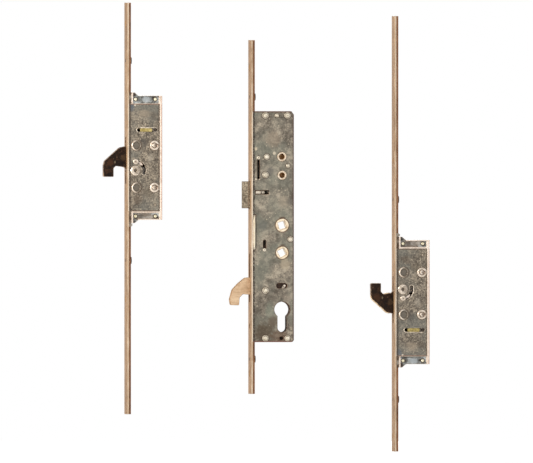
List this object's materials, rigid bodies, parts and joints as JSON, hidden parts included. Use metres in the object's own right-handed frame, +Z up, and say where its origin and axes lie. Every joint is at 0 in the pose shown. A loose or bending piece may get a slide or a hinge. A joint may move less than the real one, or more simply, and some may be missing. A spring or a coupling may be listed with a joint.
{
  "type": "multipoint door lock",
  "caption": "Multipoint door lock: a gearbox with latch, spindle hubs and hook between two hook units on strips, driven together by sliding rails.",
  "frame": {"origin": "axis of the cylinder opening at the middle of the gearbox thickness", "axes": "+X from the strip into the door, +Z up the door edge, -Y towards the riveted covers"},
  "size_m": [0.3591, 0.02, 0.49],
  "materials": {
    "strip_steel": "warm gold passivated steel strip, brushed along its length",
    "rail_steel": "dark brown passivated steel",
    "case_steel": "zinc plated sheet steel, mottled and lightly stained",
    "housing_zinc": "cast zinc, bright at the rims",
    "rivet_steel": "pale turned steel",
    "hook_dark": "near-black brown hardened steel plate",
    "hook_bronze": "peach coloured sintered steel",
    "latch_steel": "grey-tan sintered steel",
    "hub_cream": "cream sintered, waxed follower",
    "shoe_brass": "yellow brass block",
    "inner_steel": "pressed zinc plated steel",
    "spring_steel": "hard drawn spring wire"
  },
  "bodies": {
    "lock_frame": {"centre_faceplate": "strip_steel", "centre_hook_pivot": "rivet_steel", "centre_rail_studs": "rivet_steel", "front_guide_block": "hub_cream", "gearbox_case": "case_steel", "gearbox_cover": "case_steel", "gearbox_rim": "case_steel", "gearbox_rivets": "rivet_steel", "handle_screw_bushes": "rivet_steel", "idler_pin": "rivet_steel", "latch_spring": "spring_steel", "latch_spring_stop": "inner_steel", "lower_bracket_rivets": "rivet_steel", "lower_cover": "case_steel", "lower_cover_rivets": "rivet_steel", "lower_faceplate": "strip_steel", "lower_feet": "housing_zinc", "lower_hook_pivot": "rivet_steel", "lower_housing": "housing_zinc", "lower_rail_studs": "rivet_steel", "reversing_pinion_pin": "rivet_steel", "upper_bracket_rivets": "rivet_steel", "upper_cover": "case_steel", "upper_cover_rivets": "rivet_steel", "upper_faceplate": "strip_steel", "upper_feet": "housing_zinc", "upper_hook_pivot": "rivet_steel", "upper_housing": "housing_zinc", "upper_rail_studs": "rivet_steel"},
    "centre_drive": {"centre_upper_rail": "rail_steel", "gearbox_drive_slide": "inner_steel", "drive_guide_pin": "rivet_steel"},
    "centre_lower_drive": {"centre_lower_rail": "rail_steel", "gearbox_lower_rack": "inner_steel"},
    "latch": {"latch_bolt": "latch_steel"},
    "hub_92": {"gearbox_upper_hub": "hub_cream"},
    "hub_62": {"gearbox_lower_hub": "hub_cream"},
    "idler": {"idler_gear": "inner_steel"},
    "reverser": {"reversing_pinion": "inner_steel"},
    "hook_centre": {"centre_hook": "hook_bronze", "centre_hook_pin": "rivet_steel"},
    "deadlock": {"deadlock_slide": "inner_steel", "deadlock_pin": "rivet_steel"},
    "follower": {"key_follower": "inner_steel", "key_follower_pin": "rivet_steel"},
    "rail_upper": {"upper_rail": "rail_steel", "upper_drive_slide": "inner_steel"},
    "hook_upper": {"upper_hook": "hook_dark", "upper_hook_pins": "rivet_steel"},
    "shoe_upper": {"upper_shoe": "shoe_brass"},
    "rail_lower": {"lower_rail": "rail_steel", "lower_drive_slide": "inner_steel"},
    "hook_lower": {"lower_hook": "hook_dark", "lower_hook_pins": "rivet_steel"},
    "shoe_lower": {"lower_shoe": "shoe_brass"}
  },
  "joints": [
    {"name": "drive_slide", "type": "slide", "parent": "lock_frame", "child": "centre_drive", "axis": [0, 0, -1], "range_m": [0, 0.02]},
    {"name": "upper_rail_slide", "type": "slide", "parent": "lock_frame", "child": "rail_upper", "axis": [0, 0, -1], "range_m": [0, 0.02]},
    {"name": "centre_lower_slide", "type": "slide", "parent": "lock_frame", "child": "centre_lower_drive", "axis": [0, 0, 1], "range_m": [0, 0.02]},
    {"name": "lower_rail_slide", "type": "slide", "parent": "lock_frame", "child": "rail_lower", "axis": [0, 0, 1], "range_m": [0, 0.02]},
    {"name": "centre_hook_swing", "type": "hinge", "parent": "lock_frame", "child": "hook_centre", "pos_m": [-0.0184, 0, 0.0208], "axis": [0, 1, 0], "range_deg": [0, 96.05]},
    {"name": "upper_hook_swing", "type": "hinge", "parent": "lock_frame", "child": "hook_upper", "pos_m": [-0.1617, 0, 0.1518], "axis": [0, 1, 0], "range_deg": [0, 90.05]},
    {"name": "lower_hook_swing", "type": "hinge", "parent": "lock_frame", "child": "hook_lower", "pos_m": [0.1329, 0, 0.0219], "axis": [0, -1, 0], "range_deg": [0, 90.05]},
    {"name": "lower_hub_turn", "type": "hinge", "parent": "lock_frame", "child": "hub_62", "pos_m": [0, 0, 0.062], "axis": [0, 1, 0], "range_deg": [0, 91.72]},
    {"name": "idler_turn", "type": "hinge", "parent": "lock_frame", "child": "idler", "pos_m": [-0.017, 0, 0.062], "axis": [0, -1, 0], "range_deg": [0, 254.7]},
    {"name": "reverser_turn", "type": "hinge", "parent": "lock_frame", "child": "reverser", "pos_m": [-0.0193, 0, -0.008], "axis": [0, 1, 0], "range_deg": [0, 254.7]},
    {"name": "upper_shoe_slide", "type": "slide", "parent": "lock_frame", "child": "shoe_upper", "axis": [1, 0, 0], "range_m": [0, 0.005]},
    {"name": "lower_shoe_slide", "type": "slide", "parent": "lock_frame", "child": "shoe_lower", "axis": [1, 0, 0], "range_m": [0, 0.005]},
    {"name": "latch_slide", "type": "slide", "parent": "lock_frame", "child": "latch", "axis": [1, 0, 0], "range_m": [0, 0.008], "stiffness_N_per_m": 250, "springref_m": -0.012, "deforming": ["latch_spring"]},
    {"name": "upper_hub_turn", "type": "hinge", "parent": "lock_frame", "child": "hub_92", "pos_m": [0, 0, 0.092], "axis": [0, 1, 0], "range_deg": [0, 33.25]},
    {"name": "deadlock_lift", "type": "slide", "parent": "lock_frame", "child": "deadlock", "axis": [0, 0, 1], "range_m": [0, 0.009]},
    {"name": "follower_slide", "type": "slide", "parent": "lock_frame", "child": "follower", "axis": [-1, 0, 0], "range_m": [0, 0.006]}
  ],
  "couplings": [
    {"joint": "upper_rail_slide", "follows": "drive_slide", "ratio": 1},
    {"joint": "centre_lower_slide", "follows": "drive_slide", "ratio": 1},
    {"joint": "lower_rail_slide", "follows": "drive_slide", "ratio": 1},
    {"joint": "centre_hook_swing", "follows": "drive_slide", "rad_per_m": 83.776},
    {"joint": "upper_hook_swing", "follows": "drive_slide", "rad_per_m": 78.54},
    {"joint": "lower_hook_swing", "follows": "drive_slide", "rad_per_m": 78.54},
    {"joint": "lower_hub_turn", "follows": "drive_slide", "rad_per_m": 80},
    {"joint": "idler_turn", "follows": "drive_slide", "rad_per_m": 222.22},
    {"joint": "reverser_turn", "follows": "drive_slide", "rad_per_m": 222.22},
    {"joint": "upper_shoe_slide", "follows": "drive_slide", "ratio": 0.25},
    {"joint": "lower_shoe_slide", "follows": "drive_slide", "ratio": 0.25},
    {"joint": "upper_hub_turn", "follows": "latch_slide", "rad_per_m": 72.438},
    {"joint": "follower_slide", "follows": "deadlock_lift", "ratio": 0.66667}
  ]
}
